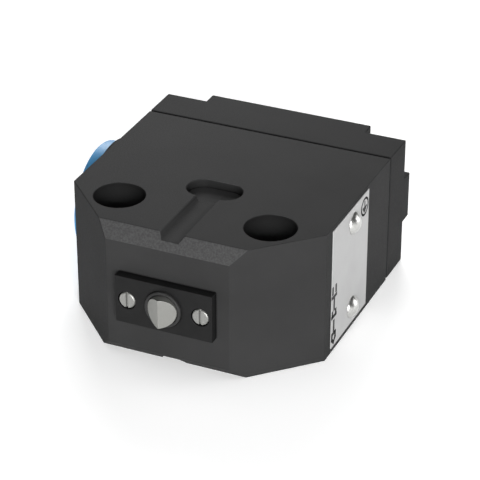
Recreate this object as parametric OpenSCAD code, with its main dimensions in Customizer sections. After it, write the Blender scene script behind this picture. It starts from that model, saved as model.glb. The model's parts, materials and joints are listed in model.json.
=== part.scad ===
// Mechanical limit switch with a roof plunger, in a flat die-cast housing with a side cable entry.
// Millimetres. +Z is up and +Y runs from the plunger's face to the rear cover. The origin lies on
// the bottom face, midway between the two mounting holes. Most modules place their shapes by their
// depth behind the front face.

/* [Housing] */
// Width across the two side faces
body_w = 58; // [57:0.5:60]
// Height from the bottom face to the top face
body_h = 30.4; // [30:0.2:32]
// Depth from the front face to the joint with the cover
housing_d = 51.75; // [51.75:0.25:55]
// Size of the 45 degree cut at the two front corners
corner_cut = 15; // [13:0.5:15]
// Size of the 45 degree bevel between the front face and the top face
top_bevel = 2.9; // [1:0.1:3]
// Size of the 45 degree bevel between the front face and the bottom face
bottom_bevel = 2.6; // [1:0.1:3]
// Thickness of the housing's side walls
side_wall = 5.5; // [5:0.25:6]
// Thickness of the housing's roof and floor
roof_t = 4; // [3.5:0.25:4]
// Thickness of the solid front part that carries the plunger
front_wall = 24; // [24:0.5:25]

/* [Mounting holes] */
// Distance between the two mounting holes
hole_spacing = 34.5; // [34:0.25:35]
// Distance of the mounting holes behind the front face
hole_setback = 13.2; // [12.5:0.1:13.5]
// Diameter of the through holes, for M6 screws
hole_d = 6.6; // [6.2:0.1:7]
// Diameter of the bores that take the screw heads
head_bore_d = 11; // [10.5:0.1:11.5]
// Depth of the bores that take the screw heads
head_bore_depth = 6.5; // [6:0.5:12]

/* [Top and bottom faces] */
// Length of the obround pocket
pocket_l = 12.4; // [10:0.2:14]
// Width of the obround pocket
pocket_w = 7.3; // [6:0.1:8]
// Depth of the obround pocket
pocket_depth = 2; // [1:0.1:2]
// Distance of the pocket's centre behind the front face
pocket_setback = 23.5; // [23:0.1:25]
// Width of the groove at the face
groove_top_w = 5.5; // [5:0.1:6]
// Width of the groove's floor
groove_floor_w = 3.7; // [3:0.1:4]
// Depth of the groove
groove_depth = 1.3; // [0.8:0.1:1.5]

/* [Cover] */
// Thickness of the joint gasket
gasket_t = 0.5; // [0.3:0.1:0.8]
// How far the gasket stays inside the outline
gasket_inset = 0.8; // [0.2:0.05:0.8]
// Thickness of the cover's full outline
cover_t = 9.25; // [9:0.25:11]
// Height of the raised cross on the cover's back
cross_t = 3.5; // [3.2:0.1:4]
// Width of the cross's upright bar
cross_bar_w = 38.8; // [38:0.2:40]
// Height of the cross's level bar
cross_band_h = 11; // [10:0.5:12]
// Depth of the wiring space inside the cover
cover_recess = 7.25; // [5:0.25:7.25]

/* [Plunger] */
// Diameter of the plunger
plunger_d = 6.6; // [6.5:0.1:6.8]
// Distance of the plunger's ridge in front of the front face
ridge_reach = 4.7; // [4.5:0.1:5.5]
// Travel of the plunger
plunger_travel = 2.5; // [2:0.1:2.5]
// Slope of the two roof facets
facet_angle = 32; // [28:1:45]
// Radial running clearance of the plunger
running_gap = 0.05; // [0.02:0.01:0.08]

/* [Guide plate] */
// Width of the guide plate
plate_w = 22; // [21:0.5:24]
// Height of the guide plate
plate_h = 11; // [10:0.5:12]
// Thickness of the guide plate
plate_t = 2.1; // [1.8:0.1:2.4]
// Distance between its two screws
plate_screw_spacing = 16.6; // [16:0.1:17]

/* [Cable entry] */
// Distance of the entry's centre behind the front face
entry_setback = 35.65; // [35:0.05:36]
// Diameter of the entry's thread, M20 at mid height of the thread
entry_d = 18.5; // [18:0.1:19]
// Diameter of the raised seat around the entry
entry_seat_d = 28.3; // [27:0.1:29]
// Height of the raised seat
entry_seat_t = 1.5; // [1:0.1:2]
// Diameter of the blanking plug's flange
plug_flange_d = 26; // [24:0.5:27]
// Thickness of the blanking plug's flange
plug_flange_t = 2.6; // [2:0.1:3]

/* [Nameplate] */
// Length of the nameplate along the housing
label_l = 20.4; // [20:0.2:22]
// Height of the nameplate
label_h = 28.4; // [27:0.2:29]
// Thickness of the nameplate
label_t = 0.2; // [0.1:0.05:0.6]
// Distance of the nameplate's centre behind the front face
label_setback = 28.2; // [28:0.1:30]
// Distance of the rivets behind the front face
rivet_setback = 29.7; // [28:0.1:32]
// Distance between the two rivets
rivet_spacing = 20.5; // [20:0.1:21]
// Height of the middle of the nameplate and of its rivets above mid height
label_lift = 0.3; // [0:0.1:0.4]
// Diameter of the rivets' heads
rivet_head_d = 5; // [4:0.1:5]
// Height of the rivets' domed heads
rivet_head_h = 1.5; // [1:0.1:2]

/* [Hidden] */

$fn = 96;
// Overshoot of a cutting shape past the face that it opens
over = 1;
// Gap between faces that touch across a joint
touch = 0.02;

mid_z = body_h / 2;
cavity_w = body_w - 2 * side_wall;
cavity_h = body_h - 2 * roof_t;
cover_y = housing_d + gasket_t;
cross_y = cover_y + cover_t;
side_x = body_w / 2;

// Cover screws, M3 cap screws in the four corners that the cross leaves free
cover_screw_x = (cross_bar_w / 2 + side_x) / 2;
cover_screw_z = (cross_band_h / 2 + body_h / 2) / 2;
cover_screw_depth = 9;
screw_boss_r = 3.6;
m3_r = 1.5;
m3_clearance_r = 1.7;
m3_head_r = 2.75;
m3_head_h = 3;
m3_key = 2.5;

// Plunger train, as depths behind the front face
plunger_r = plunger_d / 2;
bush_r = 5;
bush_front = 2;
bush_back = 13.6;
wiper_flange_r = 5.2;
wiper_flange_t = 1.5;
wiper_neck_r = 4.1;
wiper_proud = 0.6;
wiper_gap = 0.1;
collar_r = 4.6;
collar_t = 1.6;
chamber_r = 5.4;
seat_front = 21.6;
seat_t = 1;
ring_t = 0.8;
ring_groove_r = 5.85;
spigot_r = 2;
spigot_back = 26.2;
o_ring_r = 0.5;
o_ring_depth = 4.2;
o_ring_groove_half = o_ring_r + 0.1;
pin_r = 0.8;
pin_half_l = 4.75;
pin_depth = 9.3;
spring_front = bush_back + touch + collar_t;

// Springs, with wire thin enough for the stroke that each one takes up
return_spring_r = 3.7;
return_wire_r = 0.35;
return_turns = 5;
contact_spring_r = 2.2;
contact_wire_r = 0.2;
contact_turns = 5;
bridge_spring_r = 2.9;
bridge_wire_r = 0.22;
bridge_turns = 6;

// Free space past the tip of a screw in its blind hole
tip_gap = 0.5;

// Guide plate screws, M2 cheese head
m2_r = 1;
m2_clearance_r = 1.1;
m2_head_r = 1.82;
m2_head_h = 1.25;
m2_counterbore_r = 2.04;
m2_slot_w = 0.5;
m2_slot_depth = 0.6;
m2_depth = 5;

// Switch insert, as depths behind the front face
insert_half_w = 14.5;
insert_h = 20;
chamber_half_w = 9.8;
contact_chamber_h = 15.6;
base_back = 39;
base_front_t = 3.5;
lid_back = 45;
button_r = 2.5;
button_hole_r = 2.56;
button_flange_r = 3.8;
button_front = spigot_back + touch;
flange_front = front_wall + base_front_t + touch;
flange_back = 28.6;
stem_r = 1.4;
stem_hole_r = 1.46;
stem_back = 38.6;
bridge_front = 32.4;
bridge_t = 0.8;
bridge_half_l = 8;
bridge_h = 4;
bridge_travel = 1;
contact_x = 6.4;
contact_r = 1.2;
contact_t = 0.5;
strip_w = 2.8;
strip_t = 0.7;
riser_t = 0.8;
riser_z = 7;
riser_gap = 0.1;
terminal_x = 9.2;
terminal_z = 5.6;
terminal_size = 5.4;
terminal_inset = 0.35;
terminal_hole_r = 1.6;
terminal_head_r = 2.5;
terminal_head_h = 1.8;
terminal_shank_l = 5.5;
clamp_t = 0.8;
barrier_t = 2;
insert_screw_x = 12;
m25_r = 1.25;
m25_clearance_r = 1.35;
m25_head_r = 2.2;
m25_head_h = 1.6;
insert_screw_depth = 6;

// Earth screw, M3.5 on a boss beside the switch insert
earth_x = 19.3;
earth_boss_r = 3.4;
earth_boss_back = 34;
earth_r = 1.75;
earth_hole_r = 1.85;
earth_depth = 7;
earth_head_r = 3;
earth_head_h = 2.2;
earth_clamp_size = 6.6;
earth_clamp_t = 1;

// Blanking plug: rim, round recess, coin slot and hollow shank, and the seal under its flange
plug_edge = 0.25;
plug_recess_r = 8.6;
plug_recess_depth = 0.7;
plug_slot_l = 14.3;
plug_slot_w = 2.5;
plug_slot_depth = 1.7;
plug_wall = 2;
plug_thread_gap = 0.03;
plug_seal_t = 0.6;
plug_seal_inset = 0.7;

rivet_r = 1.2;
rivet_hole_r = 1.3;
rivet_depth = 4;

// ---- Placing ----

// Children whose +Z runs into the housing from the front face, on the plunger's axis
module on_axis() {
    translate([0, -hole_setback, mid_z]) rotate([-90, 0, 0]) children();
}

// Children placed by their depth behind the front face, with Y as that depth
module from_front() {
    translate([0, -hole_setback, 0]) children();
}

// A profile in Y and Z, drawn across the width from x0 to x1
module x_prism(x0, x1) {
    translate([x0, 0, 0]) rotate([90, 0, 90]) linear_extrude(x1 - x0) children();
}

// A profile in X and Z, drawn along the depth from y0 to y1
module y_prism(y0, y1) {
    translate([0, y1, 0]) rotate([90, 0, 0]) linear_extrude(y1 - y0) children();
}

// A cylinder along the depth from y0 to y1
module y_rod(r, y0, y1) {
    translate([0, y0, 0]) rotate([-90, 0, 0]) cylinder(r = r, h = y1 - y0);
}

// A box centred on X and Z, along the depth from y0 to y1
module y_box(w, h, y0, y1) {
    translate([-w / 2, y0, -h / 2]) cube([w, y1 - y0, h]);
}

// The child's mirror image on the bottom face
module on_bottom() {
    translate([0, 0, body_h]) mirror([0, 0, 1]) children();
}

// The child, and its mirror image on the bottom face
module both_faces() {
    children();
    on_bottom() children();
}

// The child at the same distance on both sides
module both_sides(x) {
    for (side = [-1, 1])
        translate([side * x, 0, 0]) children();
}

// The child at four places around the plunger's axis
module at_corners(x, z) {
    for (side = [-1, 1], level = [-1, 1])
        translate([side * x, 0, mid_z + level * z]) children();
}

// Children at the two rivets, with their +Z pointing outwards from x
module at_rivets(x) {
    for (level = [-1, 1])
        translate([x, rivet_setback, mid_z + label_lift + level * rivet_spacing / 2])
            rotate([0, 90, 0]) children();
}

// Children on the axis of the cable entry, with their +Z pointing inwards from x
module on_entry(x) {
    translate([x, entry_setback, mid_z]) rotate([0, 90, 0]) children();
}

// ---- Shared shapes ----

// A slotted screw whose head rests on Z = 0, with its shank pointing to -Z
module slotted_screw(head_r, head_h, shank_r, shank_l, slot_w, slot_depth) {
    edge = head_h * 0.15;
    difference() {
        union() {
            translate([0, 0, -shank_l]) cylinder(r = shank_r, h = shank_l);
            cylinder(r = head_r, h = head_h - edge);
            translate([0, 0, head_h - edge]) cylinder(r1 = head_r, r2 = head_r - edge, h = edge);
        }
        translate([-slot_w / 2, -head_r - over, head_h - slot_depth])
            cube([slot_w, 2 * (head_r + over), slot_depth + over]);
    }
}

// A socket cap screw whose head rests on Z = 0, with its shank pointing to -Z
module cap_screw(head_r, head_h, shank_r, shank_l, key) {
    edge = head_h * 0.1;
    difference() {
        union() {
            translate([0, 0, -shank_l]) cylinder(r = shank_r, h = shank_l);
            cylinder(r = head_r, h = head_h - edge);
            translate([0, 0, head_h - edge]) cylinder(r1 = head_r, r2 = head_r - edge, h = edge);
        }
        translate([0, 0, head_h * 0.5]) cylinder(r = key / sqrt(3), h = head_h, $fn = 6);
    }
}

// Height of a spring's wire after a number of turns: one closed turn at each end
function spring_height(turn, turns, closed, pitch) =
    turn < 1 ? turn * closed
    : turn < turns - 1 ? closed + (turn - 1) * pitch
    : closed + (turns - 2) * pitch + (turn - turns + 1) * closed;

// A compression spring of round wire along Z, from 0 to length
module coil_spring(mean_r, wire_r, length, turns) {
    sides = 8;
    steps = 20 * turns;
    closed = 2.1 * wire_r;
    pitch = (length - 2 * wire_r - 2 * closed) / (turns - 2);
    points = [for (i = [0:steps], j = [0:sides - 1])
        let (turn = i * turns / steps,
             swing = 360 * turn,
             lean = 360 * j / sides,
             out = mean_r + wire_r * cos(lean))
        [out * cos(swing), out * sin(swing),
         wire_r + spring_height(turn, turns, closed, pitch) + wire_r * sin(lean)]];
    sleeve = [for (i = [0:steps - 1], j = [0:sides - 1])
        let (next = (j + 1) % sides)
        [i * sides + j, i * sides + next, (i + 1) * sides + next, (i + 1) * sides + j]];
    start = [for (j = [sides - 1:-1:0]) j];
    end = [for (j = [0:sides - 1]) steps * sides + j];
    polyhedron(points = points, faces = concat(sleeve, [start, end]));
}

// ---- Housing and cover ----

module housing_outline() {
    polygon([[-side_x, corner_cut], [corner_cut - side_x, 0], [side_x - corner_cut, 0],
             [side_x, corner_cut], [side_x, housing_d], [-side_x, housing_d]]);
}

// Removes the edge between the front face and the top face
module front_bevel(size) {
    x_prism(-side_x - over, side_x + over)
        polygon([[-over, body_h - size - over], [-over, body_h + over], [size + over, body_h + over]]);
}

// The obround pocket in the top face
module pocket() {
    reach = (pocket_l - pocket_w) / 2;
    translate([0, pocket_setback, body_h - pocket_depth]) {
        both_sides(reach) cylinder(d = pocket_w, h = pocket_depth + over);
        translate([-reach, -pocket_w / 2, 0]) cube([2 * reach, pocket_w, pocket_depth + over]);
    }
}

// The groove from the front face to the pocket
module groove() {
    y_prism(-over, pocket_setback)
        polygon([[-groove_floor_w / 2, body_h - groove_depth], [groove_floor_w / 2, body_h - groove_depth],
                 [groove_top_w / 2, body_h], [groove_top_w / 2, body_h + over],
                 [-groove_top_w / 2, body_h + over], [-groove_top_w / 2, body_h]]);
}

module mounting_hole() {
    translate([0, hole_setback, -over]) cylinder(d = hole_d, h = body_h + 2 * over);
    translate([0, hole_setback, body_h - head_bore_depth])
        cylinder(d = head_bore_d, h = head_bore_depth + over);
}

// The switch chamber, open to the back, with the bosses for the cover and earth screws left standing
module cavity() {
    difference() {
        translate([0, 0, mid_z]) y_box(cavity_w, cavity_h, front_wall, housing_d + over);
        at_corners(cover_screw_x, cover_screw_z)
            y_rod(screw_boss_r, front_wall - over, housing_d + 2 * over);
        translate([earth_x, 0, mid_z]) y_rod(earth_boss_r, front_wall - over, earth_boss_back);
    }
}

// The stepped bore for the wiper, the guide bush, the return spring and the retaining ring
module plunger_bore() {
    translate([0, 0, mid_z]) {
        y_rod(wiper_flange_r + wiper_gap, -over, wiper_flange_t + wiper_gap);
        y_rod(bush_r, 0, bush_back);
        y_rod(chamber_r, bush_back, front_wall + over);
        y_rod(ring_groove_r, seat_front + seat_t, seat_front + seat_t + ring_t + 2 * running_gap);
    }
}

module housing() {
    color([0.27, 0.27, 0.28]) from_front() difference() {
        union() {
            linear_extrude(body_h) housing_outline();
            on_entry(-side_x - entry_seat_t) cylinder(d = entry_seat_d, h = entry_seat_t + over);
        }
        front_bevel(top_bevel);
        on_bottom() front_bevel(bottom_bevel);
        both_faces() {
            pocket();
            groove();
        }
        both_sides(hole_spacing / 2) mounting_hole();
        cavity();
        plunger_bore();
        on_entry(-side_x - entry_seat_t - over)
            cylinder(d = entry_d, h = entry_seat_t + side_wall + 2 * over);
        translate([0, 0, mid_z]) {
            both_sides(plate_screw_spacing / 2) y_rod(m2_r, -over, m2_depth);
            both_sides(insert_screw_x) y_rod(m25_r, front_wall - insert_screw_depth, front_wall + over);
            translate([earth_x, 0, 0])
                y_rod(earth_r, earth_boss_back - earth_depth, earth_boss_back + over);
        }
        at_corners(cover_screw_x, cover_screw_z)
            y_rod(m3_r, housing_d - cover_screw_depth, housing_d + over);
        at_rivets(side_x - rivet_depth) cylinder(r = rivet_r, h = rivet_depth + over);
    }
}

module rear_cover() {
    color([0.25, 0.25, 0.26]) from_front() difference() {
        translate([0, 0, mid_z]) {
            y_box(body_w, body_h, cover_y, cross_y);
            y_box(cross_bar_w, body_h, cross_y - over, cross_y + cross_t);
            y_box(body_w, cross_band_h, cross_y - over, cross_y + cross_t);
        }
        difference() {
            translate([0, 0, mid_z])
                y_box(cavity_w, cavity_h, cover_y - over, cover_y + cover_recess);
            at_corners(cover_screw_x, cover_screw_z)
                y_rod(screw_boss_r, cover_y - 2 * over, cross_y);
        }
        at_corners(cover_screw_x, cover_screw_z)
            y_rod(m3_clearance_r, cover_y - over, cross_y + over);
    }
}

module cover_gasket() {
    color([0.05, 0.05, 0.05]) from_front() difference() {
        translate([0, 0, mid_z])
            y_box(body_w - 2 * gasket_inset, body_h - 2 * gasket_inset, housing_d, cover_y);
        difference() {
            translate([0, 0, mid_z]) y_box(cavity_w, cavity_h, housing_d - over, cover_y + over);
            at_corners(cover_screw_x, cover_screw_z)
                y_rod(screw_boss_r, housing_d - 2 * over, cover_y + 2 * over);
        }
        at_corners(cover_screw_x, cover_screw_z)
            y_rod(m3_clearance_r, housing_d - over, cover_y + over);
    }
}

module cover_screws() {
    shank_l = cover_t + gasket_t + cover_screw_depth - tip_gap;
    color([0.5, 0.5, 0.52]) from_front() at_corners(cover_screw_x, cover_screw_z)
        translate([0, cross_y, 0]) rotate([-90, 0, 0])
            cap_screw(m3_head_r, m3_head_h, m3_r, shank_l, m3_key);
}

// ---- Guide plate and plunger ----

module guide_plate() {
    color([0.16, 0.16, 0.17]) from_front() translate([0, 0, mid_z]) difference() {
        y_box(plate_w, plate_h, -plate_t, 0);
        y_rod(wiper_neck_r + running_gap, -plate_t - over, over);
        both_sides(plate_screw_spacing / 2) {
            y_rod(m2_clearance_r, -plate_t - over, over);
            y_rod(m2_counterbore_r, -plate_t - over, m2_head_h - plate_t);
        }
    }
}

module guide_plate_screws() {
    shank_l = m2_depth + plate_t - m2_head_h - tip_gap;
    color([0.75, 0.75, 0.74]) from_front() translate([0, m2_head_h - plate_t, mid_z])
        both_sides(plate_screw_spacing / 2) rotate([90, 0, 0])
            slotted_screw(m2_head_r, m2_head_h, m2_r, shank_l, m2_slot_w, m2_slot_depth);
}

// Removes the two sloping sides that leave the ridge, which stands along Z
module roof_cut() {
    slope = tan(facet_angle);
    half = plunger_r + over;
    for (side = [-1, 1])
        linear_extrude(4 * half, center = true)
            polygon([[0, -ridge_reach], [side * half, -ridge_reach + half * slope],
                     [side * half, -ridge_reach - over], [0, -ridge_reach - over]]);
}

module plunger() {
    collar_front = bush_back + touch;
    color([0.62, 0.62, 0.6]) from_front() translate([0, 0, mid_z]) difference() {
        union() {
            y_rod(plunger_r, -ridge_reach, collar_front + over);
            y_rod(collar_r, collar_front, collar_front + collar_t);
            y_rod(spigot_r, collar_front, spigot_back);
        }
        roof_cut();
        difference() {
            y_rod(plunger_r + over, o_ring_depth - o_ring_groove_half, o_ring_depth + o_ring_groove_half);
            y_rod(plunger_r - 2 * o_ring_r + running_gap, 0, 2 * o_ring_depth);
        }
        translate([0, pin_depth, 0]) rotate([0, 90, 0])
            cylinder(r = pin_r, h = 2 * bush_r, center = true);
    }
}

module plunger_o_ring() {
    squeeze = running_gap / 2;
    color([0.08, 0.08, 0.08]) on_axis() translate([0, 0, o_ring_depth]) rotate_extrude()
        translate([plunger_r - o_ring_r + squeeze, 0]) circle(r = o_ring_r - squeeze);
}

module guide_pin() {
    color([0.7, 0.7, 0.7]) on_axis() translate([0, 0, pin_depth]) rotate([0, 90, 0])
        cylinder(r = pin_r, h = 2 * pin_half_l, center = true);
}

// The wiper: a flange held behind the guide plate, and a neck with a rounded lip around the plunger
module wiper_ring() {
    lip_r = (wiper_neck_r - plunger_r - running_gap) / 2;
    lip_front = -plate_t - wiper_proud;
    color([0.1, 0.1, 0.1]) on_axis() difference() {
        union() {
            cylinder(r = wiper_flange_r, h = wiper_flange_t);
            translate([0, 0, lip_front + lip_r]) cylinder(r = wiper_neck_r, h = -lip_front - lip_r + over);
            translate([0, 0, lip_front + lip_r])
                rotate_extrude() translate([wiper_neck_r - lip_r, 0]) circle(r = lip_r);
        }
        translate([0, 0, lip_front - over])
            cylinder(r = plunger_r + running_gap, h = plate_t + wiper_flange_t + 3 * over);
    }
}

module guide_bush() {
    slot_w = 2 * (pin_r + running_gap);
    slot_front = pin_depth - pin_r - running_gap;
    color([0.6, 0.42, 0.2]) on_axis() difference() {
        translate([0, 0, bush_front]) cylinder(r = bush_r, h = bush_back - bush_front);
        translate([0, 0, bush_front - over])
            cylinder(r = plunger_r + running_gap, h = bush_back - bush_front + 2 * over);
        translate([-2 * bush_r, -slot_w / 2, slot_front])
            cube([4 * bush_r, slot_w, bush_back - slot_front + over]);
    }
}

module return_spring() {
    length = seat_front - spring_front - 2 * touch;
    color([0.55, 0.55, 0.56]) on_axis() translate([0, 0, spring_front + touch])
        coil_spring(return_spring_r, return_wire_r, length, return_turns);
}

module spring_seat() {
    color([0.6, 0.6, 0.62]) on_axis() translate([0, 0, seat_front]) difference() {
        cylinder(r = chamber_r - 2 * running_gap, h = seat_t);
        translate([0, 0, -over]) cylinder(r = spigot_r + 2 * running_gap, h = seat_t + 2 * over);
    }
}

// An internal retaining ring with an open gap and two eyes for the pliers
module retaining_ring() {
    gap_w = 2.6;
    inner_r = 4.6;
    eye_r = 1.05;
    eye_x = 2.26;
    eye_y = 4.1;
    color([0.3, 0.3, 0.32]) on_axis() translate([0, 0, seat_front + seat_t]) difference() {
        union() {
            difference() {
                cylinder(r = ring_groove_r - running_gap, h = ring_t);
                translate([0, 0, -over]) cylinder(r = inner_r, h = ring_t + 2 * over);
                translate([-gap_w / 2, 0, -over]) cube([gap_w, 2 * bush_r, ring_t + 2 * over]);
            }
            both_sides(eye_x) translate([0, eye_y, 0]) cylinder(r = eye_r, h = ring_t);
        }
        both_sides(eye_x) translate([0, eye_y, -over]) cylinder(r = eye_r / 2, h = ring_t + 2 * over);
    }
}

// ---- Switch insert ----

module switch_base() {
    color([0.12, 0.2, 0.16]) from_front() translate([0, 0, mid_z]) difference() {
        y_box(2 * insert_half_w, insert_h, front_wall, base_back);
        y_box(2 * chamber_half_w, contact_chamber_h, front_wall + base_front_t, base_back + over);
        y_rod(button_hole_r, front_wall - over, base_back);
        both_sides(insert_screw_x) y_rod(m25_clearance_r, front_wall - over, base_back + over);
    }
}

module switch_lid() {
    slot_w = strip_w + riser_gap;
    slot_h = riser_t + riser_gap;
    color([0.14, 0.24, 0.19]) from_front() translate([0, 0, mid_z]) difference() {
        union() {
            y_box(2 * insert_half_w, insert_h, base_back, lid_back);
            y_box(terminal_x, insert_h, lid_back - over, lid_back + barrier_t);
        }
        y_rod(stem_hole_r, base_back - over, stem_back + plunger_travel + over);
        both_sides(insert_screw_x) y_rod(m25_clearance_r, base_back - over, lid_back + over);
        for (side = [-1, 1], level = [-1, 1]) {
            translate([side * terminal_x, 0, level * terminal_z])
                y_rod(m3_r, base_back + over, lid_back + over);
            translate([side * contact_x, 0, level * riser_z])
                y_box(slot_w, slot_h, base_back - over, lid_back + barrier_t + over);
        }
    }
}

module switch_button() {
    color([0.75, 0.12, 0.1]) from_front() translate([0, 0, mid_z]) {
        y_rod(button_r, button_front, flange_back);
        y_rod(button_flange_r, flange_front, flange_back);
        y_rod(stem_r, flange_front, stem_back);
    }
}

module contact_spring() {
    length = bridge_front - flange_back - 2 * touch;
    color([0.6, 0.6, 0.6]) on_axis() translate([0, 0, flange_back + touch])
        coil_spring(contact_spring_r, contact_wire_r, length, contact_turns);
}

module contact_bridge() {
    color([0.72, 0.55, 0.25]) from_front() translate([0, 0, mid_z]) difference() {
        y_box(2 * bridge_half_l, bridge_h, bridge_front, bridge_front + bridge_t);
        y_rod(stem_hole_r, bridge_front - over, bridge_front + bridge_t + over);
    }
}

// Silver contact faces on both sides of the bridge's two ends
module bridge_contacts() {
    color([0.85, 0.85, 0.85]) from_front() translate([0, 0, mid_z]) both_sides(contact_x) {
        y_rod(contact_r, bridge_front - contact_t, bridge_front);
        y_rod(contact_r, bridge_front + bridge_t, bridge_front + bridge_t + contact_t);
    }
}

module bridge_spring() {
    back = bridge_front + bridge_t;
    length = base_back - back - 2 * touch;
    color([0.6, 0.6, 0.6]) on_axis() translate([0, 0, back + touch])
        coil_spring(bridge_spring_r, bridge_wire_r, length, bridge_turns);
}

// A fixed contact: a pad that faces the bridge, a strip up to the riser, the riser through the lid
// and the terminal under its screw. level is 1 above the bridge and -1 below it, and facing is 1
// where the pad looks towards the back
module fixed_contact(side, level, face, facing) {
    back = face - facing * contact_t;
    strip_front = min(back, back - facing * strip_t);
    reach = riser_z + riser_t / 2;
    tab_inner = contact_x - strip_w / 2;
    tab_outer = terminal_x + terminal_size / 2;
    translate([side * contact_x, 0, 0]) {
        y_rod(contact_r, min(face, back), max(face, back));
        translate([0, 0, level * (reach - contact_r) / 2])
            y_box(strip_w, reach + contact_r, strip_front, strip_front + strip_t);
        translate([0, 0, level * riser_z]) y_box(strip_w, riser_t, strip_front, lid_back + strip_t);
    }
    difference() {
        translate([side * (tab_inner + tab_outer) / 2, 0, level * (terminal_z - terminal_inset)])
            y_box(tab_outer - tab_inner, terminal_size - 2 * terminal_inset, lid_back, lid_back + strip_t);
        translate([side * terminal_x, 0, level * terminal_z])
            y_rod(terminal_hole_r, lid_back - over, lid_back + over);
    }
}

module closed_contacts() {
    face = bridge_front - contact_t - touch;
    color([0.78, 0.62, 0.3]) from_front() translate([0, 0, mid_z])
        for (side = [-1, 1])
            fixed_contact(side, 1, face, 1);
}

module open_contacts() {
    face = bridge_front + bridge_t + contact_t + bridge_travel + touch;
    color([0.78, 0.62, 0.3]) from_front() translate([0, 0, mid_z])
        for (side = [-1, 1])
            fixed_contact(side, -1, face, -1);
}

module terminal_clamps() {
    color([0.7, 0.7, 0.68]) from_front() at_corners(terminal_x, terminal_z) difference() {
        y_box(terminal_size, terminal_size, lid_back + strip_t, lid_back + strip_t + clamp_t);
        y_rod(terminal_hole_r, lid_back, lid_back + 2 * over);
    }
}

module terminal_screws() {
    color([0.7, 0.7, 0.68]) from_front() at_corners(terminal_x, terminal_z)
        translate([0, lid_back + strip_t + clamp_t, 0]) rotate([-90, 0, 0])
            slotted_screw(terminal_head_r, terminal_head_h, m3_r, terminal_shank_l, 0.8, 1);
}

module switch_screws() {
    shank_l = lid_back - front_wall + insert_screw_depth - tip_gap;
    color([0.7, 0.7, 0.68]) from_front() translate([0, lid_back, mid_z])
        both_sides(insert_screw_x) rotate([-90, 0, 0])
            slotted_screw(m25_head_r, m25_head_h, m25_r, shank_l, 0.6, 0.8);
}

// ---- Earth terminal, cable entry and nameplate ----

module earth_clamp() {
    color([0.7, 0.7, 0.68]) from_front() translate([earth_x, 0, mid_z]) difference() {
        y_box(earth_clamp_size, earth_clamp_size, earth_boss_back, earth_boss_back + earth_clamp_t);
        y_rod(earth_hole_r, earth_boss_back - over, earth_boss_back + earth_clamp_t + over);
    }
}

module earth_screw() {
    color([0.2, 0.5, 0.2]) from_front() translate([earth_x, earth_boss_back + earth_clamp_t, mid_z])
        rotate([-90, 0, 0]) slotted_screw(earth_head_r, earth_head_h, earth_r, earth_depth, 0.9, 1.2);
}

// The blanking plug, drawn along +X from its flange's outer face
module blanking_plug() {
    flange_r = plug_flange_d / 2;
    outer_x = -side_x - entry_seat_t - plug_seal_t - plug_flange_t;
    shank_l = plug_seal_t + entry_seat_t + side_wall - tip_gap;
    color([0.2, 0.5, 0.75]) from_front() on_entry(outer_x) difference() {
        union() {
            cylinder(r1 = flange_r - plug_edge, r2 = flange_r, h = plug_edge);
            translate([0, 0, plug_edge]) cylinder(r = flange_r, h = plug_flange_t - plug_edge);
            translate([0, 0, plug_flange_t]) cylinder(r = entry_d / 2 - plug_thread_gap, h = shank_l);
        }
        translate([0, 0, -over]) cylinder(r = plug_recess_r, h = over + plug_recess_depth);
        translate([-plug_slot_l / 2, -plug_slot_w / 2, -over])
            cube([plug_slot_l, plug_slot_w, over + plug_slot_depth]);
        translate([0, 0, plug_slot_depth + plug_wall / 2])
            cylinder(r = entry_d / 2 - plug_wall, h = plug_flange_t + shank_l);
    }
}

module plug_seal() {
    color([0.06, 0.06, 0.06]) from_front() on_entry(-side_x - entry_seat_t - plug_seal_t) difference() {
        cylinder(r = plug_flange_d / 2 - plug_seal_inset, h = plug_seal_t);
        translate([0, 0, -over]) cylinder(r = entry_d / 2 + running_gap, h = plug_seal_t + 2 * over);
    }
}

module nameplate() {
    color([0.77, 0.77, 0.77]) from_front() difference() {
        translate([side_x, label_setback - label_l / 2, mid_z + label_lift - label_h / 2])
            cube([label_t, label_l, label_h]);
        at_rivets(side_x - over) cylinder(r = rivet_hole_r, h = label_t + 2 * over);
    }
}

// Half-round rivets: a segment of a ball on a plain shank
module nameplate_rivets() {
    head_r = rivet_head_d / 2;
    ball_r = (head_r * head_r + rivet_head_h * rivet_head_h) / (2 * rivet_head_h);
    shank_l = label_t + rivet_depth - tip_gap;
    color([0.8, 0.8, 0.79]) from_front() at_rivets(side_x + label_t) {
        translate([0, 0, -shank_l]) cylinder(r = rivet_r, h = shank_l);
        intersection() {
            translate([0, 0, rivet_head_h - ball_r]) sphere(r = ball_r);
            cylinder(r = head_r + over, h = rivet_head_h + over);
        }
    }
}

housing();
rear_cover();
cover_gasket();
cover_screws();
guide_plate();
guide_plate_screws();
plunger();
plunger_o_ring();
guide_pin();
wiper_ring();
guide_bush();
return_spring();
spring_seat();
retaining_ring();
switch_base();
switch_lid();
switch_button();
contact_spring();
contact_bridge();
bridge_contacts();
bridge_spring();
closed_contacts();
open_contacts();
terminal_screws();
terminal_clamps();
switch_screws();
earth_screw();
earth_clamp();
blanking_plug();
plug_seal();
nameplate();
nameplate_rivets();
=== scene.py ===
"""Looks for a mechanical limit switch with a roof plunger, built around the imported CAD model.

The CAD model gives every place and size. This script rounds the edges of every piece, winds the three
springs as smooth wire, prints plain line art on the nameplate and gives every piece a procedural
material. Lengths are in metres, in the CAD model's own frame: +Z up, +Y from the plunger's face to the
rear cover, origin midway between the mounting holes on the bottom face.
"""

import json
import math

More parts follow.
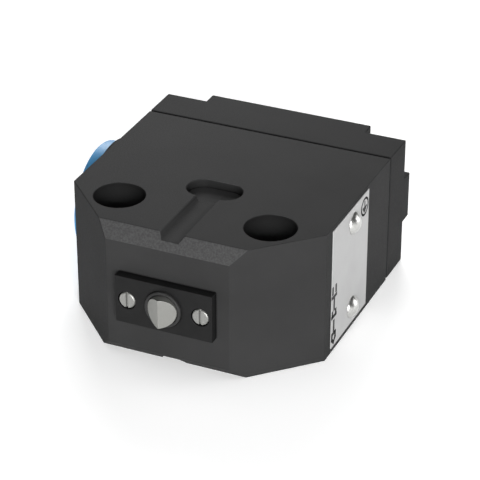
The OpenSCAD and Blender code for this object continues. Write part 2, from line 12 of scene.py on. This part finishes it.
import bmesh
import bpy
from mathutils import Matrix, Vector


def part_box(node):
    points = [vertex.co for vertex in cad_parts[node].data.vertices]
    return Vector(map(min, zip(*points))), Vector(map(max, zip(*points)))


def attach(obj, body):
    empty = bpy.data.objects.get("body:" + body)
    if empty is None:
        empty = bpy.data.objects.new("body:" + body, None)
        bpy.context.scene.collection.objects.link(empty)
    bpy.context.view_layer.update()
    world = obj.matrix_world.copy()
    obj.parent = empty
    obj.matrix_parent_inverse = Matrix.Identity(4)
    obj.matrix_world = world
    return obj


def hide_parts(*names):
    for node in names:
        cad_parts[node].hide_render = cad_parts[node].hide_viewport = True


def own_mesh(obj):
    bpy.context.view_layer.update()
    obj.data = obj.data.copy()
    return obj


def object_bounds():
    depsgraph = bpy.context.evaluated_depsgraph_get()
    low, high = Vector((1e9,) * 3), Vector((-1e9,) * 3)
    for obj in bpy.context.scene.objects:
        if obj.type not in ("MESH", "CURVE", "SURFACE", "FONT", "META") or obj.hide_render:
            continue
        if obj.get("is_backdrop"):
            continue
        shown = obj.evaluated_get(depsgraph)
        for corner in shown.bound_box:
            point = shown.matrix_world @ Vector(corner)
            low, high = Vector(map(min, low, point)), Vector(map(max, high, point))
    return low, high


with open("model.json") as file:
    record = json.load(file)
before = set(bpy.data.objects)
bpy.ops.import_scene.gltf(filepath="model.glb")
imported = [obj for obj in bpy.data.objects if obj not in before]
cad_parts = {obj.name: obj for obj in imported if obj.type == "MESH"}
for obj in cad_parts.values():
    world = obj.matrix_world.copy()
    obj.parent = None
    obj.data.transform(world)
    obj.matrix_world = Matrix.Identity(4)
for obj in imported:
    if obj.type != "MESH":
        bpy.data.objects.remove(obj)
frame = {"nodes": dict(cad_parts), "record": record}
cad_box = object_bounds()
record = frame["record"]

MM = 0.001
SLOT_OF = {row["node"]: row["material_slot"] for row in record["subparts"]}
BODY_OF = {node: body for body, nodes in record["behaviour"]["bodies"].items() for node in nodes}
HOUSING_LOW, HOUSING_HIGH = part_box("housing")
FRONT, BOTTOM, TOP = HOUSING_LOW.y, HOUSING_LOW.z, HOUSING_HIGH.z
UP = (0.0, 0.0, 1.0)

# ---- Material building blocks ----


class Surface:
    """A Principled material in the making. Patterns are placed in the CAD frame, in metres."""

    def __init__(self, name, **values):
        self.material = bpy.data.materials.new(name)
        self.material.use_nodes = True
        self.tree = self.material.node_tree
        self.shader = self.tree.nodes["Principled BSDF"]
        self.normal = None
        for socket, value in values.items():
            self.shader.inputs[socket.replace("_", " ")].default_value = value
        coordinates = self.tree.nodes.new("ShaderNodeTexCoord")
        self.place = coordinates.outputs["Object"]
        self.facing = coordinates.outputs["Normal"]

    def node(self, kind, **inputs):
        made = self.tree.nodes.new(kind)
        for name, value in inputs.items():
            self.feed(made.inputs[name.replace("_", " ")], value)
        return made

    def feed(self, socket, value):
        if isinstance(value, bpy.types.NodeSocket):
            self.tree.links.new(value, socket)
        else:
            socket.default_value = value

    def set(self, socket, value):
        self.feed(self.shader.inputs[socket], value)

    def stretched(self, scale):
        """The CAD frame's coordinates, stretched by a scale for each axis."""
        mapping = self.node("ShaderNodeMapping", Vector=self.place)
        mapping.inputs["Scale"].default_value = scale
        return mapping.outputs["Vector"]

    def noise(self, size, detail=3.0, stretch=None):
        """Noise from 0 to 1 whose features are about size metres across."""
        place = self.stretched(stretch) if stretch else self.place
        made = self.node("ShaderNodeTexNoise", Vector=place, Scale=1 / size, Detail=detail)
        return made.outputs["Fac"]

    def speckle(self, size):
        """Random cells from 0 to 1, size metres across, like the grains of a cast skin."""
        made = self.node("ShaderNodeTexVoronoi", Vector=self.place, Scale=1 / size)
        made.feature = "SMOOTH_F1"
        return made.outputs["Distance"]

    def remap(self, value, from_low, from_high, low, high):
        made = self.node("ShaderNodeMapRange", Value=value)
        made.inputs["From Min"].default_value = from_low
        made.inputs["From Max"].default_value = from_high
        made.inputs["To Min"].default_value = low
        made.inputs["To Max"].default_value = high
        return made.outputs["Result"]

    def maths(self, operation, a, b=0.0):
        made = self.tree.nodes.new("ShaderNodeMath")
        made.operation = operation
        self.feed(made.inputs[0], a)
        self.feed(made.inputs[1], b)
        return made.outputs[0]

    def times(self, a, b):
        return self.maths("MULTIPLY", a, b)

    def dot(self, a, b):
        made = self.tree.nodes.new("ShaderNodeVectorMath")
        made.operation = "DOT_PRODUCT"
        self.feed(made.inputs[0], a)
        self.feed(made.inputs[1], b)
        return made.outputs["Value"]

    def absolute(self, vector):
        made = self.tree.nodes.new("ShaderNodeVectorMath")
        made.operation = "ABSOLUTE"
        self.feed(made.inputs[0], vector)
        return made.outputs["Vector"]

    def along(self, axis, start, end):
        """0 at start and 1 at end, in metres along a direction of the CAD frame."""
        return self.remap(self.dot(self.place, axis), start, end, 0.0, 1.0)

    def mix(self, share, a, b):
        """Colour a where share is 0 and colour b where it is 1."""
        made = self.tree.nodes.new("ShaderNodeMix")
        made.data_type = "RGBA"
        self.feed(made.inputs["Factor"], share)
        for socket, value in ((made.inputs[6], a), (made.inputs[7], b)):
            self.feed(socket, value if isinstance(value, bpy.types.NodeSocket) else (*value, 1.0))
        return made.outputs[2]

    def from_axis(self, out, back):
        """Distance from the nearer of two upright axes, at x = -out and x = out, both at y = back."""
        flat, gap = (self.tree.nodes.new("ShaderNodeVectorMath") for _ in range(2))
        flat.operation, gap.operation = "MULTIPLY", "DISTANCE"
        self.feed(flat.inputs[0], self.absolute(self.place))
        flat.inputs[1].default_value = (1.0, 1.0, 0.0)
        self.feed(gap.inputs[0], flat.outputs["Vector"])
        gap.inputs[1].default_value = (out, back, 0.0)
        return gap.outputs["Value"]

    def edges(self, radius, strength):
        """A mask that is 1 along sharp edges, radius metres wide, and fades over the flats."""
        softened = self.node("ShaderNodeBevel", Radius=radius)
        softened.samples = 4
        flat = self.tree.nodes.new("ShaderNodeNewGeometry").outputs["Normal"]
        return self.remap(self.dot(softened.outputs["Normal"], flat), 1.0, 0.8, 0.0, strength)

    def corners(self, reach, strength, with_neighbours=False):
        """A mask that is 1 deep in recesses, up to reach metres from their walls or neighbours."""
        hidden = self.node("ShaderNodeAmbientOcclusion", Distance=reach)
        hidden.samples = 8
        hidden.only_local = not with_neighbours
        return self.remap(hidden.outputs["AO"], 1.0, 0.2, 0.0, strength)

    def bump(self, height, depth, strength=1.0):
        """Adds relief of depth metres from a height between 0 and 1."""
        made = self.node("ShaderNodeBump", Height=height, Distance=depth, Strength=strength)
        if self.normal:
            self.feed(made.inputs["Normal"], self.normal)
        self.normal = made.outputs["Normal"]
        self.set("Normal", self.normal)


def shade(colour, factor):
    return tuple(channel * factor for channel in colour)


# ---- Materials, one for each slot of the record ----

CASTING_GLOSS = 0.03
BEVEL_SLOPE = (0.0, -math.sqrt(0.5), math.sqrt(0.5))
GROOVE_WALL_SLOPE = (0.822, 0.0, 0.569)
GROOVE_HALF_WIDTH = 2.75 * MM
GROOVE_FLOOR_HALF_WIDTH = 1.85 * MM
# Width of the strip along the foot of the groove's left wall that is painted near black, as painted shade.
GROOVE_FOOT = 0.3 * MM
HOLES = next(mount for mount in record["mounts"] if mount["name"] == "mounting_holes")
HOLE_OFFSET = HOLES["dims"]["spacing_x_mm"] / 2 * MM
BORE_RADIUS = 5.5 * MM
BORE_SHADE_DEEP = TOP - 4.9 * MM
BORE_SHADE_RIM = TOP - 0.4 * MM
POCKET_BACK = FRONT + 23.5 * MM
POCKET_REACH = 6.4 * MM
POCKET_FLOOR = TOP - 2.0 * MM


def rubbed_edges(surface, grain):
    """A mask for outer edges that handling has rubbed paler, in patches."""
    patches = surface.remap(grain, 0.4, 0.6, 0.2, 1)
    outer = surface.remap(surface.corners(0.5 * MM, 1.0), 0.1, 0.4, 1, 0)
    return surface.times(surface.times(surface.edges(0.2 * MM, 0.25), patches), outer)


def with_coarse_bevel_and_painted_highlight(surface, tone, colour):
    """Adds the coarse grain of the bevel between the front face and the top face, with a painted highlight
    that makes the whole bevel paler.
    """
    slope = surface.remap(surface.dot(surface.facing, BEVEL_SLOPE), 0.93, 0.97, 0, 1)
    coarse = surface.remap(surface.noise(0.4 * MM, detail=3.0), 0.36, 0.64, 0, 1)
    # Painted highlight: the bevel is painted 1.75 to 2.45 times paler than the casting, as if lit from the
    # front and above; the noise between the two tones is its coarse grain.
    return surface.mix(slope, tone, surface.mix(coarse, shade(colour, 1.75), shade(colour, 2.45)))


def with_painted_groove_shade(surface, tone, colour):
    """Adds painted shade on the groove's left wall: a little paler than the casting at its rim, near black
    along its foot.
    """
    wall = surface.remap(surface.dot(surface.facing, GROOVE_WALL_SLOPE), 0.97, 0.99, 0, 1)
    foot = -GROOVE_FLOOR_HALF_WIDTH - GROOVE_FOOT
    down = surface.along((1.0, 0.0, 0.0), -GROOVE_HALF_WIDTH, foot)
    return surface.mix(wall, tone, surface.mix(down, shade(colour, 1.4), shade(colour, 0.02)))


def with_painted_bore_shading(surface, tone, colour):
    """Adds painted light and shade on the walls of the two head bores: painted darker near the rim and paler
    deep down.
    """
    near_axis = surface.from_axis(HOLE_OFFSET, 0.0)
    bored = surface.remap(near_axis, BORE_RADIUS + 0.08 * MM, BORE_RADIUS + 0.02 * MM, 0, 1)
    height = surface.along(UP, BORE_SHADE_DEEP, BORE_SHADE_RIM)
    # Painted shade and light: 0.45 times the casting's colour at the rim, 1.6 times deep in the bore.
    return surface.mix(bored, tone, surface.mix(height, shade(colour, 1.6), shade(colour, 0.45)))


def with_painted_pocket_shading(surface, tone, colour):
    """Adds painted light and shade in the pocket: its floor painted paler and its walls painted darker."""
    near_axis = surface.from_axis(0.0, POCKET_BACK)
    inside = surface.remap(near_axis, POCKET_REACH + 0.2 * MM, POCKET_REACH, 0, 1)
    inside = surface.times(inside, surface.along((0.0, 1.0, 0.0), 0.0, 1.0 * MM))
    low = surface.along(UP, POCKET_FLOOR + 0.3 * MM, POCKET_FLOOR + 0.1 * MM)
    # Painted light: the pocket's floor is painted 1.4 times paler.
    tone = surface.mix(surface.times(inside, low), tone, shade(colour, 1.4))
    slant = surface.maths("ABSOLUTE", surface.dot(surface.facing, UP))
    walls = surface.times(surface.remap(slant, 0.3, 0.2, 0, 1), inside)
    # Painted shade: the pocket's walls are painted 0.85 times as dark.
    return surface.mix(walls, tone, shade(colour, 0.85))


def cast_black(name, colour, is_housing=False):
    """Black-coated die casting: fine sandy grain, faint clouds, rubbed edges, a painted sheen and painted
    shade in corners.
    """
    surface = Surface(name, Metallic=0.0, Specular_IOR_Level=CASTING_GLOSS)
    grain = surface.noise(0.26 * MM, detail=4.0)
    clouds = surface.noise(14 * MM, detail=3.0)
    pores = surface.speckle(0.45 * MM)
    tone = surface.mix(surface.remap(clouds, 0.3, 0.7, 0, 1), shade(colour, 0.92), shade(colour, 1.08))
    # Paler grains, more of them towards the left and on upward faces: partly the coarser cast skin there,
    # partly a painted sheen that makes the top paler at its left.
    grain_and_sheen_side = surface.along((1.0, -0.3, 0.0), 25 * MM, -30 * MM)
    upward = surface.remap(surface.dot(surface.facing, UP), 0.9, 0.97, 0, 1)
    graininess = surface.remap(grain, 0.38, 0.66, 0, 1)
    pale_grain_and_sheen = surface.times(graininess, surface.remap(grain_and_sheen_side, 0, 1, 0.02, 0.85))
    pale_grain_and_sheen = surface.times(pale_grain_and_sheen, surface.remap(upward, 0, 1, 0.15, 1))
    tone = surface.mix(pale_grain_and_sheen, tone, shade(colour, 1.9))
    tone = surface.mix(rubbed_edges(surface, grain), tone, shade(colour, 2.2))
    if is_housing:
        tone = with_coarse_bevel_and_painted_highlight(surface, tone, colour)
        tone = with_painted_groove_shade(surface, tone, colour)
        tone = with_painted_bore_shading(surface, tone, colour)
        tone = with_painted_pocket_shading(surface, tone, colour)
    # Painted shade: walls are painted darker in corners and recesses, and near black in the crevices and
    # gaps next to other parts.
    walls_only = surface.remap(upward, 0, 1, 1, 0)
    shaded = surface.times(surface.corners(1.2 * MM, 0.2), walls_only)
    tone = surface.mix(shaded, tone, shade(colour, 0.3))
    crevice_shade = surface.times(surface.corners(0.7 * MM, 1.0, with_neighbours=True), walls_only)
    tone = surface.mix(surface.remap(crevice_shade, 0.35, 0.8, 0, 1), tone, shade(colour, 0.05))
    surface.set("Base Color", tone)
    surface.set("Roughness", surface.remap(grain, 0.3, 0.7, 0.55, 0.7))
    surface.bump(grain, 0.03 * MM, 0.5)
    surface.bump(pores, 0.02 * MM, 0.3)
    surface.bump(clouds, 0.05 * MM, 0.2)
    return surface.material


def satin_black(name, colour):
    """Smooth black oxide on steel, a little worn along its edges, with painted shade next to its neighbours.
    """
    surface = Surface(name, Metallic=0.0, Specular_IOR_Level=0.12)
    haze = surface.noise(3 * MM, detail=4.0)
    grain = surface.noise(0.12 * MM, detail=2.0)
    tone = surface.mix(surface.remap(haze, 0.3, 0.7, 0, 1), shade(colour, 0.9), shade(colour, 1.1))
    worn = surface.mix(surface.edges(0.12 * MM, 0.3), tone, shade(colour, 2.2))
    # Painted shade: near black in corners and next to neighbouring parts, such as round the screw heads.
    hidden = surface.corners(0.9 * MM, 1.0, with_neighbours=True)
    surface.set("Base Color", surface.mix(hidden, worn, shade(colour, 0.1)))
    surface.set("Roughness", surface.remap(haze, 0.3, 0.7, 0.45, 0.56))
    surface.bump(grain, 0.008 * MM, 0.4)
    return surface.material


def ground_steel(name, colour, stretch, roughness):
    """Ground or turned steel: fine parallel marks along the axes that stretch leaves coarse."""
    surface = Surface(name, Metallic=0.75, Anisotropic=0.35)
    marks = surface.noise(0.06 * MM, detail=3.0, stretch=stretch)
    stain = surface.noise(2.2 * MM, detail=3.0)
    tone = surface.mix(surface.remap(marks, 0.3, 0.7, 0, 1), shade(colour, 0.9), shade(colour, 1.05))
    toned = surface.mix(surface.remap(stain, 0.45, 0.8, 0, 0.3), tone, shade(colour, 0.82))
    surface.set("Base Color", toned)
    surface.set("Roughness", surface.remap(marks, 0.3, 0.7, roughness - 0.05, roughness + 0.08))
    surface.bump(marks, 0.004 * MM, 0.4)
    return surface.material


def rubber(name, colour):
    """Dull moulded rubber with dust in its grain."""
    surface = Surface(name, Metallic=0.0, Specular_IOR_Level=0.25)
    grain = surface.noise(0.15 * MM, detail=3.0)
    dust = surface.noise(1.2 * MM, detail=4.0)
    surface.set("Base Color", surface.mix(surface.remap(dust, 0.5, 0.8, 0, 0.5), colour, shade(colour, 2.0)))
    surface.set("Roughness", surface.remap(grain, 0.3, 0.7, 0.6, 0.8))
    surface.bump(grain, 0.015 * MM, 0.5)
    return surface.material


def moulded_plastic(name, colour, roughness=0.42):
    """Moulded plastic: spark-eroded texture, slow colour drift and paler edges."""
    surface = Surface(name, Metallic=0.0, Specular_IOR_Level=0.35)
    grain = surface.noise(0.2 * MM, detail=3.0)
    drift = surface.noise(7 * MM, detail=2.0)
    tone = surface.mix(surface.remap(drift, 0.3, 0.7, 0, 1), shade(colour, 0.93), shade(colour, 1.07))
    surface.set("Base Color", surface.mix(surface.edges(0.15 * MM, 0.3), tone, shade(colour, 1.4)))
    surface.set("Roughness", surface.remap(grain, 0.3, 0.7, roughness - 0.06, roughness + 0.1))
    surface.bump(grain, 0.012 * MM, 0.45)
    return surface.material


def worked_metal(name, colour, roughness, grain_size=0.25 * MM):
    """Plated, drawn or stamped metal with a soft orange-peel and small stains."""
    surface = Surface(name, Metallic=1.0)
    peel = surface.noise(grain_size, detail=3.0)
    stain = surface.noise(1.5 * MM, detail=4.0)
    spotted = surface.mix(surface.remap(stain, 0.45, 0.8, 0, 0.5), colour, shade(colour, 0.72))
    surface.set("Base Color", spotted)
    surface.set("Roughness", surface.remap(peel, 0.3, 0.7, roughness - 0.06, roughness + 0.08))
    surface.bump(peel, 0.006 * MM, 0.4)
    return surface.material


def satin_label(name, colour):
    """Satin anodised aluminium sheet, brushed along its height."""
    surface = Surface(name, Metallic=0.0, Specular_IOR_Level=0.3)
    brush = surface.noise(0.05 * MM, detail=2.0, stretch=(1.0, 1.0, 0.03))
    smudge = surface.noise(6 * MM, detail=3.0)
    tone = surface.mix(surface.remap(brush, 0.3, 0.7, 0, 1), shade(colour, 0.975), shade(colour, 1.025))
    smudged = surface.mix(surface.remap(smudge, 0.4, 0.8, 0, 0.2), tone, shade(colour, 0.93))
    surface.set("Base Color", smudged)
    surface.set("Roughness", surface.remap(smudge, 0.3, 0.7, 0.42, 0.52))
    surface.bump(brush, 0.003 * MM, 0.4)
    return surface.material


ALONG_X = (0.04, 1.0, 1.0)

MATERIALS = {
    "black_cast_aluminium": cast_black("coated_casting", (0.0248, 0.0248, 0.0250), is_housing=True),
    "cover_cast_aluminium": cast_black("coated_cover", (0.0205, 0.0205, 0.0208)),
    "black_plate": satin_black("black_oxide", (0.0075, 0.0075, 0.0076)),
    "stainless_steel": ground_steel("ground_stainless", (0.245, 0.245, 0.232), ALONG_X, 0.4),
    "bright_screw_steel": ground_steel("zinc_screw", (0.260, 0.260, 0.249), ALONG_X, 0.4),
    "spring_steel": worked_metal("drawn_wire", (0.30, 0.30, 0.31), 0.35),
    "black_rubber": rubber("black_rubber", (0.016, 0.016, 0.016)),
    "sintered_bronze": worked_metal("sintered_bronze", (0.42, 0.26, 0.11), 0.5, 0.12 * MM),
    "brass_strip": ground_steel("stamped_brass", (0.62, 0.45, 0.17), ALONG_X, 0.32),
    "contact_silver": worked_metal("contact_silver", (0.84, 0.84, 0.82), 0.25),
    "green_thermoset": moulded_plastic("green_thermoset", (0.018, 0.05, 0.036), 0.5),
    "red_plastic": moulded_plastic("red_plastic", (0.45, 0.02, 0.015)),
    "blue_plastic": moulded_plastic("blue_plastic", (0.063, 0.31, 0.62)),
    "green_screw": worked_metal("green_passivated", (0.10, 0.32, 0.09), 0.35),
    "label_aluminium": satin_label("satin_label", (0.312, 0.312, 0.312)),
    "rivet_steel": worked_metal("polished_rivet", (0.56, 0.56, 0.545), 0.3),
}

# ---- Pieces ----


def new_piece(name, mesh, body, slot, replaced=None):
    """Links a mesh as a piece that rides on a CAD body and takes a material slot's finish."""
    piece = bpy.data.objects.new(name, mesh)
    bpy.context.scene.collection.objects.link(piece)
    mesh.materials.clear()
    mesh.materials.append(MATERIALS[slot])
    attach(piece, body)
    if replaced:
        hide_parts(replaced)
    return piece


SHARP = math.radians(28)
CRISP = 0.2


def rounded(node, width, stays_crisp=None):
    """Stands in for a CAD node: outer edges rounded to width, or CRISP of it, and inner ones left sharp."""
    work = bmesh.new()
    work.from_mesh(frame["nodes"][node].data)
    bmesh.ops.remove_doubles(work, verts=work.verts, dist=0.002 * MM)
    bmesh.ops.dissolve_limit(work, angle_limit=math.radians(0.4), verts=work.verts, edges=work.edges)
    weight = work.edges.layers.float.new("bevel_weight_edge")
    for edge in work.edges:
        if edge.calc_face_angle(0) > SHARP:
            if edge.is_convex:
                edge[weight] = CRISP if stays_crisp and stays_crisp(edge) else 1.0
            else:
                edge.smooth = False
    for face in work.faces:
        face.smooth = True
    mesh = bpy.data.meshes.new(f"{node}_rounded")
    work.to_mesh(mesh)
    work.free()
    piece = new_piece(f"{node}_rounded", mesh, BODY_OF[node], SLOT_OF[node], node)
    rounding = piece.modifiers.new("rounding", "BEVEL")
    rounding.limit_method = "WEIGHT"
    rounding.width = width
    rounding.segments = 2
    rounding.use_clamp_overlap = False
    rounding.miter_outer = "MITER_ARC"
    even_flats = piece.modifiers.new("even_flats", "WEIGHTED_NORMAL")
    even_flats.keep_sharp = True
    return piece


def on_groove(edge):
    """True for the two long outer edges of a groove in the housing's top or bottom face."""
    near = 0.01 * MM
    start, end = (vertex.co for vertex in edge.verts)
    runs_back = abs(start.x - end.x) < near and abs(start.z - end.z) < near
    at_face = min(abs(start.z - BOTTOM), abs(start.z - TOP)) < near
    return runs_back and at_face and abs(abs(start.x) - GROOVE_HALF_WIDTH) < near


HOUSING_EDGE = 0.22 * MM
EDGE_WIDTH = {
    "rear_cover": 0.25, "cover_gasket": 0.05, "cover_screws": 0.08,
    "guide_plate": 0.10, "guide_plate_screws": 0.03, "plunger": 0.05, "guide_pin": 0.05,
    "wiper_ring": 0.08, "guide_bush": 0.10, "spring_seat": 0.08, "retaining_ring": 0.05,
    "switch_base": 0.15, "switch_lid": 0.15, "switch_button": 0.12, "contact_bridge": 0.05,
    "bridge_contacts": 0.06, "closed_contacts": 0.05, "open_contacts": 0.05,
    "terminal_screws": 0.06, "terminal_clamps": 0.08, "switch_screws": 0.06, "earth_screw": 0.08,
    "earth_clamp": 0.08, "blanking_plug": 0.10, "plug_seal": 0.08, "nameplate": 0.05,
    "nameplate_rivets": 0.06,
}
rounded("housing", HOUSING_EDGE, on_groove)
for node, width in EDGE_WIDTH.items():
    rounded(node, width * MM)

SMOOTH_NODES = ["plunger_o_ring"]
for node in SMOOTH_NODES:
    cad = frame["nodes"][node]
    cad.data.materials.clear()
    cad.data.materials.append(MATERIALS[SLOT_OF[node]])

# ---- Springs ----


def spring(node, wire, turns, body):
    """A coil spring of round wire with closed ends, in the space of its CAD node.

    It rides on the body at its far end.
    """
    low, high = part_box(node)
    middle = (low + high) / 2
    radius = (high.x - low.x) / 2 - wire
    closed = 2.1 * wire
    open_pitch = (high.y - low.y - 2 * wire - 2 * closed) / (turns - 2)
    sides, steps = 12, 36 * turns
    work = bmesh.new()
    rings = []
    for step in range(steps + 1):
        turn = step * turns / steps
        middle_turns = min(max(turn - 1, 0), turns - 2)
        end_turns = min(turn, 1) + max(turn - turns + 1, 0)
        rise = wire + middle_turns * open_pitch + end_turns * closed
        swing = math.tau * turn
        ring = []
        for side in range(sides):
            lean = math.tau * side / sides
            out = radius + wire * math.cos(lean)
            spot = Vector((out * math.cos(swing), 0, -out * math.sin(swing)))
            spot.y = low.y - middle.y + rise + wire * math.sin(lean)
            ring.append(work.verts.new(middle + spot))
        rings.append(ring)
    for ring, following in zip(rings, rings[1:]):
        for side in range(sides):
            after = (side + 1) % sides
            work.faces.new((ring[side], following[side], following[after], ring[after]))
    work.faces.new(rings[0])
    work.faces.new(reversed(rings[-1]))
    bmesh.ops.recalc_face_normals(work, faces=work.faces)
    for face in work.faces:
        face.smooth = len(face.verts) == 4
    mesh = bpy.data.meshes.new(f"{node}_wire")
    work.to_mesh(mesh)
    work.free()
    piece = new_piece(f"{node}_wire", mesh, body, SLOT_OF[node], node)
    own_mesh(piece)


def travel(joint):
    return next(row["range_m"][1] for row in record["behaviour"]["joints"] if row["name"] == joint)


def wind_springs():
    """Winds the three springs. Each is listed with how far the bodies at its two ends come together, which
    is not used.
    """
    stroke = {joint: travel(joint) for joint in ("plunger_slide", "bridge_slide")}
    springs = [
        ("return_spring", 0.35 * MM, 5, "housing_unit", stroke["plunger_slide"]),
        ("contact_spring", 0.20 * MM, 5, "bridge_unit", stroke["plunger_slide"] - stroke["bridge_slide"]),
        ("bridge_spring", 0.22 * MM, 6, "housing_unit", stroke["bridge_slide"]),
    ]
    for node, wire, turns, body, shortening in springs:
        spring(node, wire, turns, body)


wind_springs()

# ---- Line art on the nameplate ----


def print_art(name, strokes, corner, line):
    """Thin printed lines on the nameplate.

    Each stroke is a list of points (up, back) in millimetres from the nameplate's lower front corner
    at corner, and line is their width.
    """
    low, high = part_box("nameplate")
    face, ink = high.x - 0.01 * MM, 0.03 * MM
    work = bmesh.new()
    for points in strokes:
        for start, end in zip(points, points[1:]):
            add_line(work, Vector(start), Vector(end), line)
    for vertex in work.verts:
        up, back = vertex.co.x, vertex.co.y
        vertex.co = Vector((face, low.y + (corner[1] + back) * MM, low.z + (corner[0] + up) * MM))
    printed = bmesh.ops.extrude_face_region(work, geom=work.faces[:])
    for item in printed["geom"]:
        if isinstance(item, bmesh.types.BMVert):
            item.co.x += ink
    bmesh.ops.recalc_face_normals(work, faces=work.faces)
    mesh = bpy.data.meshes.new(name)
    work.to_mesh(mesh)
    work.free()
    new_piece(name, mesh, BODY_OF["nameplate"], "black_plate")


def add_line(work, start, end, line):
    """A flat bar from start to end, as wide as line and a little longer, so that corners close."""
    along = (end - start).normalized() * line / 2
    across = Vector((-along.y, along.x))
    corners = [start - along - across, end + along - across, end + along + across, start - along + across]
    work.faces.new([work.verts.new((spot.x, spot.y, 0)) for spot in corners])


def circle(radius, middle, points=28):
    turns = [math.tau * i / points for i in range(points + 1)]
    return [(middle[0] + radius * math.cos(t), middle[1] + radius * math.sin(t)) for t in turns]


def contact_symbol():
    """A plunger, its linkage, one closed and one open double contact, drawn up the front edge."""
    plunger = [(1.3, 0.1), (0.0, 0.1), (-0.9, 1.0), (0.0, 1.9), (1.3, 1.9), (1.3, 0.1)]
    linkage = [[(start, 1.0), (start + 0.8, 1.0)] for start in (2.0, 3.5, 7.3, 8.8)]
    closed = [[(5.6, -0.1), (5.6, 2.1)], [(5.6, 0.1), (6.7, 0.1)], [(5.6, 1.9), (6.7, 1.9)]]
    opened = [[(10.4, -0.1), (10.4, 2.1)], [(11.4, 0.1), (12.6, 0.1)], [(11.4, 1.9), (12.6, 1.9)]]
    return [plunger, *linkage, *closed, *opened]


def earth_symbol():
    """Protective earth: three bars under a stem, in a circle."""
    bars = [[(-0.2, -1.0), (-0.2, 1.0)], [(-0.65, -0.6), (-0.65, 0.6)], [(-1.1, -0.22), (-1.1, 0.22)]]
    return [circle(1.9, (0, 0)), [(-0.2, 0), (1.1, 0)], *bars]


print_art("contact_print", contact_symbol(), (1.9, 0.35), 0.8)
print_art("earth_print", earth_symbol(), (25.3, 17.9), 0.46)

# ---- Floor, lights and camera ----


def floor():
    low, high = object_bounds()
    mesh = bpy.data.meshes.new("floor")
    corners = [(-1, -1), (1, -1), (1, 1), (-1, 1)]
    mesh.from_pydata([(x * FLOOR_REACH, y * FLOOR_REACH, low.z) for x, y in corners], [], [(0, 1, 2, 3)])
    surface = Surface("pale_floor", Roughness=0.9, Specular_IOR_Level=0.0)
    mottled = surface.mix(surface.noise(0.2, detail=2.0), (0.93, 0.93, 0.93), (0.95, 0.95, 0.95))
    surface.set("Base Color", mottled)
    surface.set("Emission Color", (1.0, 1.0, 1.0, 1.0))
    surface.set("Emission Strength", FLOOR_GLOW)
    mesh.materials.append(surface.material)
    plane = bpy.data.objects.new("floor", mesh)
    bpy.context.scene.collection.objects.link(plane)
    plane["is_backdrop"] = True


def direction(azimuth, elevation):
    """Unit vector from the object towards a place, where azimuth 0 is in front and 90 is to the right."""
    a, e = math.radians(azimuth), math.radians(elevation)
    return Vector((math.sin(a) * math.cos(e), -math.cos(a) * math.cos(e), math.sin(e)))


def softbox(name, azimuth, elevation, size, power):
    """A square area light that looks at the middle of the switch."""
    low, high = cad_box
    light = bpy.data.lights.new(name, "AREA")
    light.size = size
    light.energy = power
    lamp = bpy.data.objects.new(name, light)
    bpy.context.scene.collection.objects.link(lamp)
    out = direction(azimuth, elevation)
    lamp.location = (low + high) / 2 + out * SOFTBOX_DISTANCE
    lamp.rotation_euler = (-out).to_track_quat("-Z", "Y").to_euler()


def camera():
    low, high = cad_box
    data = bpy.data.cameras.new("camera")
    data.sensor_width = 36
    data.lens = CAMERA_LENS
    data.clip_start = 0.01
    data.clip_end = 20
    eye = bpy.data.objects.new("camera", data)
    bpy.context.scene.collection.objects.link(eye)
    out = direction(CAMERA_AZIMUTH, CAMERA_ELEVATION)
    eye.location = (low + high) / 2 + Vector(CAMERA_AIM) + out * CAMERA_DISTANCE
    eye.rotation_euler = (-out).to_track_quat("-Z", "Y").to_euler()
    bpy.context.scene.camera = eye


def sky():
    """A pale studio: bright walls at floor level that fade to a darker ceiling."""
    world = bpy.data.worlds.new("studio")
    world.use_nodes = True
    tree = world.node_tree
    background = tree.nodes["Background"]
    place = tree.nodes.new("ShaderNodeTexCoord").outputs["Generated"]
    height = tree.nodes.new("ShaderNodeSeparateXYZ")
    fade = tree.nodes.new("ShaderNodeMapRange")
    fade.inputs["From Min"].default_value = 0.0
    fade.inputs["From Max"].default_value = math.sin(math.radians(SKY_FADE))
    fade.inputs["To Min"].default_value = SKY_LOW
    fade.inputs["To Max"].default_value = SKY_HIGH
    tree.links.new(place, height.inputs["Vector"])
    tree.links.new(height.outputs["Z"], fade.inputs["Value"])
    tree.links.new(fade.outputs["Result"], background.inputs["Strength"])
    background.inputs["Color"].default_value = (1, 1, 1, 1)
    bpy.context.scene.world = world


CAMERA_AZIMUTH = 23.948
CAMERA_ELEVATION = 29.678
CAMERA_DISTANCE = 461.4 * MM
CAMERA_LENS = 159.53
CAMERA_AIM = (3.854 * MM, 1.224 * MM, -0.609 * MM)
SOFTBOX_DISTANCE = 0.6
FLOOR_REACH = 4.0
SKY_LOW = 0.7
SKY_HIGH = 0.01
SKY_FADE = 16.0
FLOOR_GLOW = 0.25

floor()
sky()
softbox("key", -36, 53, 0.30, 0.05)
softbox("back_left", -156, 30, 0.30, 2.7)
softbox("right", 125, 8, 0.36, 1.45)
softbox("front", 28, 12, 0.30, 6.0)
softbox("overhead", 0, 88, 0.5, 1.0)
camera()
bpy.context.scene.view_settings.view_transform = "Standard"
